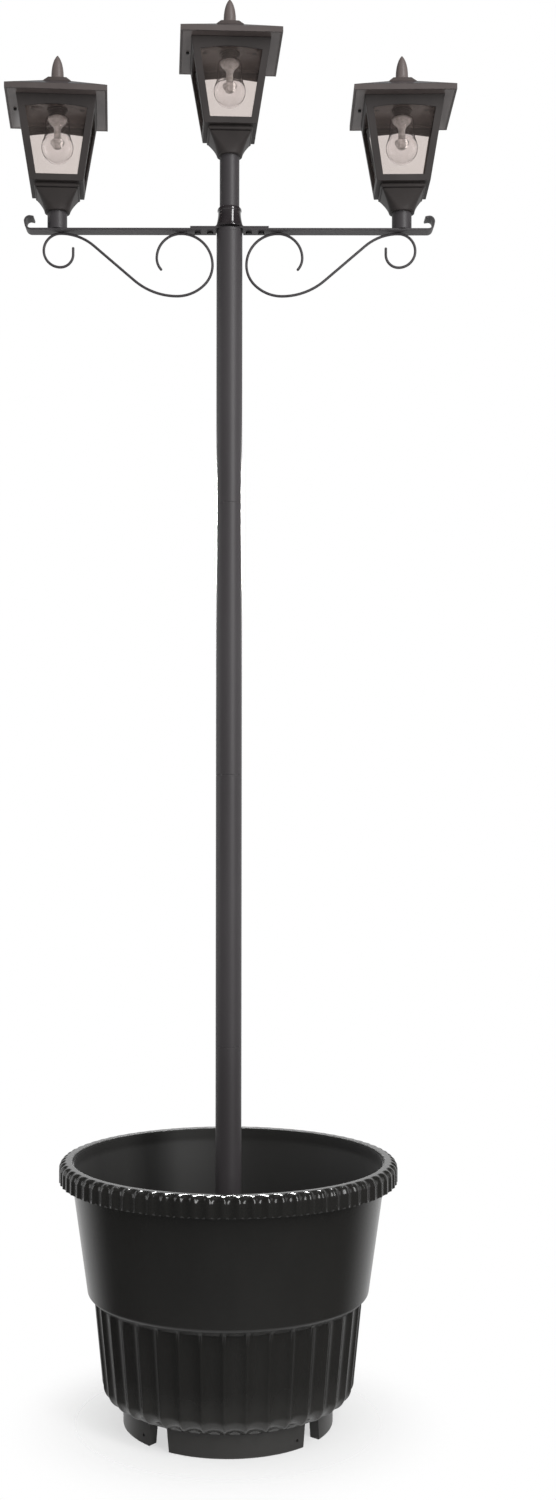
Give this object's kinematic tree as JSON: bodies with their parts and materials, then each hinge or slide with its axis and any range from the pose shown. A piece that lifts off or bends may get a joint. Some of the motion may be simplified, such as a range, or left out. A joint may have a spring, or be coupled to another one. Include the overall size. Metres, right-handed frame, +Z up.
{
  "type": "triple head lamp post",
  "caption": "Free-standing garden lamp post in a round reeded planter, with a strap crossbar, wire scrolls and tapered square lanterns with clear bulbs.",
  "frame": {"origin": "on the ground on the pole's axis", "axes": "+Z up along the pole, +X along the crossbar to the right lantern, -Y towards the front"},
  "size_m": [0.5799, 0.4354, 1.8335],
  "materials": {
    "pot_plastic": "satin moulded, near black",
    "black_paint": "satin charcoal",
    "collar_gloss": "gloss black",
    "lantern_plastic": "satin dark brown-grey",
    "clear_pane": "clear",
    "bulb_glass": "clear",
    "lamp_white": "pale",
    "cell_dark": "dark blue-black",
    "screw_steel": "blackened",
    "bolt_zinc": "zinc plated",
    "cell_sleeve": "plain sleeve",
    "board_green": "coated board",
    "button_rubber": "matt"
  },
  "bodies": {
    "post": {"planter_pot": "pot_plastic", "pole_foot": "black_paint", "foot_bolts": "bolt_zinc", "pole_section_low": "black_paint", "pole_section_mid_low": "black_paint", "pole_section_mid_high": "black_paint", "pole_section_high": "black_paint", "pole_plug": "black_paint", "bracket_plate": "black_paint", "arm_strap_left": "black_paint", "arm_strap_right": "black_paint", "scroll_left": "black_paint", "scroll_right": "black_paint", "arm_bolts": "screw_steel", "reducer_collar": "collar_gloss", "centre_tube": "black_paint", "stub_tube_left": "black_paint", "stub_tube_right": "black_paint"},
    "left_lantern": {"left_socket": "lantern_plastic", "left_cage": "lantern_plastic", "left_panes": "clear_pane"},
    "left_roof": {"left_roof": "lantern_plastic", "left_finial": "lantern_plastic", "left_solar_cells": "cell_dark", "left_ceiling": "lantern_plastic", "left_ceiling_screws": "screw_steel", "left_lamp_holder": "lantern_plastic", "left_bulb": "bulb_glass", "left_bulb_core": "lamp_white", "left_battery": "cell_sleeve", "left_circuit_board": "board_green"},
    "left_switch": {"left_switch_button": "button_rubber"},
    "centre_lantern": {"centre_socket": "lantern_plastic", "centre_cage": "lantern_plastic", "centre_panes": "clear_pane"},
    "centre_roof": {"centre_roof": "lantern_plastic", "centre_finial": "lantern_plastic", "centre_solar_cells": "cell_dark", "centre_ceiling": "lantern_plastic", "centre_ceiling_screws": "screw_steel", "centre_lamp_holder": "lantern_plastic", "centre_bulb": "bulb_glass", "centre_bulb_core": "lamp_white", "centre_battery": "cell_sleeve", "centre_circuit_board": "board_green"},
    "centre_switch": {"centre_switch_button": "button_rubber"},
    "right_lantern": {"right_socket": "lantern_plastic", "right_cage": "lantern_plastic", "right_panes": "clear_pane"},
    "right_roof": {"right_roof": "lantern_plastic", "right_finial": "lantern_plastic", "right_solar_cells": "cell_dark", "right_ceiling": "lantern_plastic", "right_ceiling_screws": "screw_steel", "right_lamp_holder": "lantern_plastic", "right_bulb": "bulb_glass", "right_bulb_core": "lamp_white", "right_battery": "cell_sleeve", "right_circuit_board": "board_green"},
    "right_switch": {"right_switch_button": "button_rubber"}
  },
  "joints": [
    {"name": "left_swivel", "type": "hinge", "parent": "post", "child": "left_lantern", "pos_m": [-0.2225, 0, 1.557], "axis": [0, 0, 1], "continuous": true},
    {"name": "left_roof_lift", "type": "slide", "parent": "left_lantern", "child": "left_roof", "axis": [0, 0, 1], "range_m": [0, 0.085]},
    {"name": "left_switch_press", "type": "slide", "parent": "left_roof", "child": "left_switch", "axis": [0, 0, 1], "range_m": [0, 0.0012], "stiffness_N_per_m": 300},
    {"name": "centre_swivel", "type": "hinge", "parent": "post", "child": "centre_lantern", "pos_m": [0, 0, 1.63], "axis": [0, 0, 1], "continuous": true},
    {"name": "centre_roof_lift", "type": "slide", "parent": "centre_lantern", "child": "centre_roof", "axis": [0, 0, 1], "range_m": [0, 0.085]},
    {"name": "centre_switch_press", "type": "slide", "parent": "centre_roof", "child": "centre_switch", "axis": [0, 0, 1], "range_m": [0, 0.0012], "stiffness_N_per_m": 300},
    {"name": "right_swivel", "type": "hinge", "parent": "post", "child": "right_lantern", "pos_m": [0.2225, 0, 1.557], "axis": [0, 0, 1], "continuous": true},
    {"name": "right_roof_lift", "type": "slide", "parent": "right_lantern", "child": "right_roof", "axis": [0, 0, 1], "range_m": [0, 0.085]},
    {"name": "right_switch_press", "type": "slide", "parent": "right_roof", "child": "right_switch", "axis": [0, 0, 1], "range_m": [0, 0.0012], "stiffness_N_per_m": 300}
  ]
}
